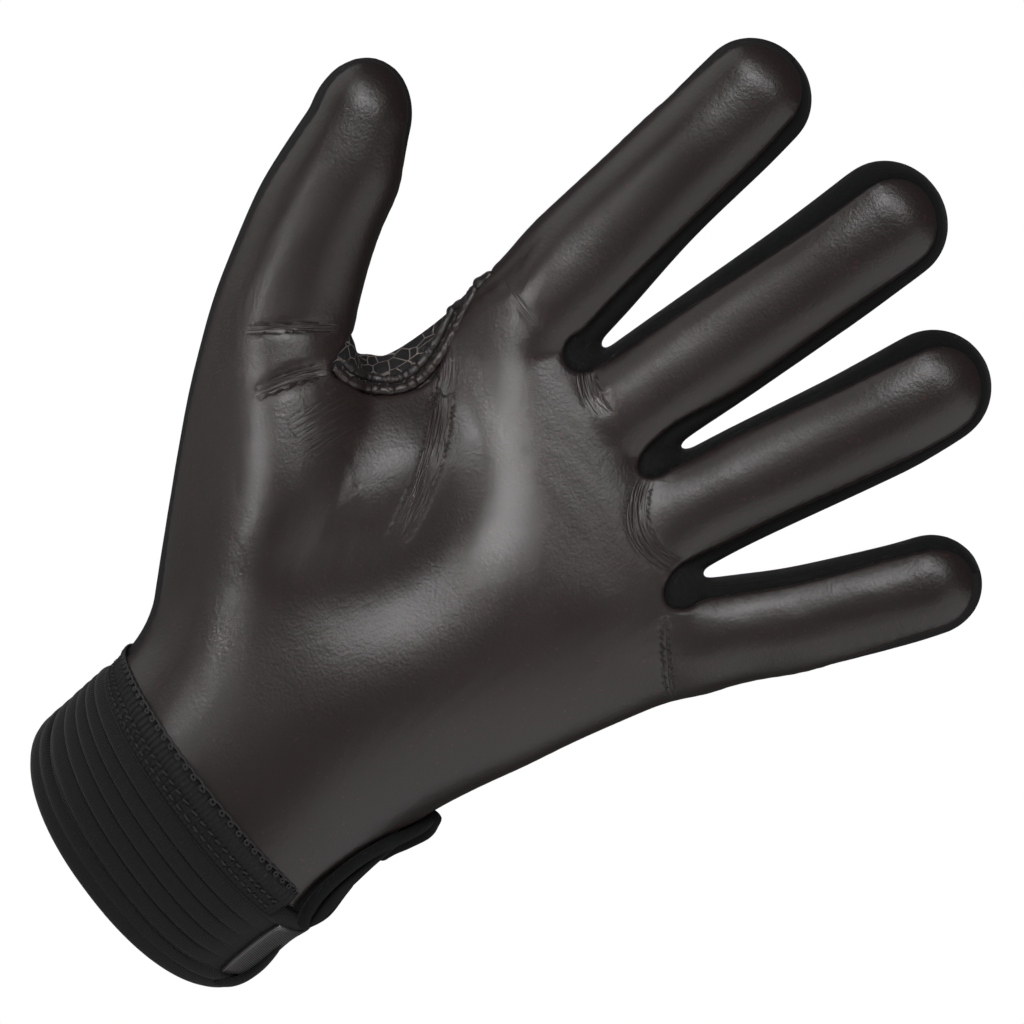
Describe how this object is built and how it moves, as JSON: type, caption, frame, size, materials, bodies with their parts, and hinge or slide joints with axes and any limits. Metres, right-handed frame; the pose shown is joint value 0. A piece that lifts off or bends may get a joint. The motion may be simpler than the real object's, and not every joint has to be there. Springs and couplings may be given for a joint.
{
  "type": "sport glove",
  "caption": "Left-hand sport glove in the shape of a worn hand, with a smooth coated palm, knit finger sidewalls, a ribbed wrist cuff and a bound side slit.",
  "frame": {"origin": "centre of the cuff's opening, where the wrist goes in", "axes": "+Z from the wrist to the fingertips, +X to the little finger, palm facing -Y"},
  "size_m": [0.1729, 0.0577, 0.2309],
  "materials": {
    "coated_palm": "smooth dark brown-black coating with a soft sheen",
    "net_fabric": "black fabric with a pale cracked net",
    "knit": "fine ribbed black knit",
    "seam_tape": "black tape with a looped cover stitch",
    "elastic": "black ribbed elastic",
    "satin": "smooth black satin"
  },
  "bodies": {
    "root": {"palm_panel": "coated_palm", "back_panel": "net_fabric", "sidewall_index_middle": "knit", "sidewall_middle_ring": "knit", "sidewall_ring_pinky": "knit", "web_seam_outer": "coated_palm", "web_seam_inner": "knit", "wrist_tape": "seam_tape", "cuff_band": "elastic", "cuff_binding": "elastic", "vent_binding": "knit", "wrist_strap": "satin"}
  },
  "joints": []
}
